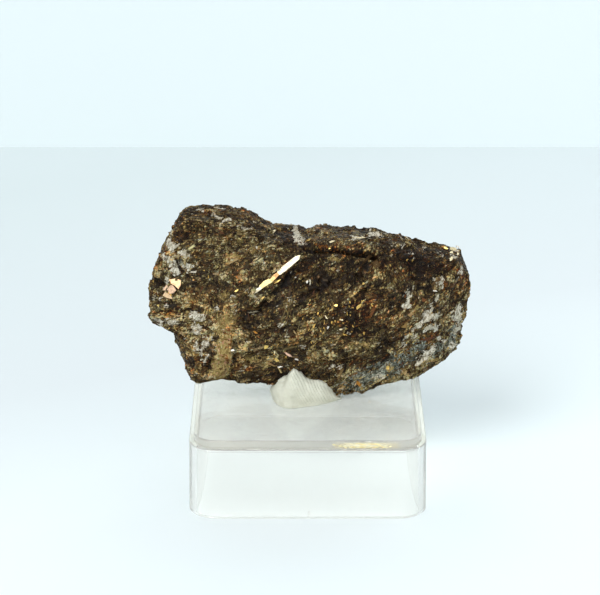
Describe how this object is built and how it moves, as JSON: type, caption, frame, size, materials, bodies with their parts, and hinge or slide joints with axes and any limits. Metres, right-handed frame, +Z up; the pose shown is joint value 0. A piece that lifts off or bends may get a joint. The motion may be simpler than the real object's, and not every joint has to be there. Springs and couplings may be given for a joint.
{
  "type": "astrophyllite specimen on a clear stand",
  "caption": "Bronze-brown bladed mineral specimen held upright by white putty on a square clear plastic stand with a raised inset top.",
  "frame": {"origin": "on the surface the stand rests on, under the middle of the whole object's box", "axes": "+X along the specimen's longest side, to the right as seen from its shown face, +Y away from the viewer, +Z up"},
  "size_m": [0.055, 0.0404, 0.0476],
  "materials": {
    "bronze_stone": "satin",
    "white_putty": "matte",
    "clear_plastic": "gloss"
  },
  "bodies": {
    "root": {"astrophyllite": "bronze_stone", "putty": "white_putty", "stand": "clear_plastic"}
  },
  "joints": []
}
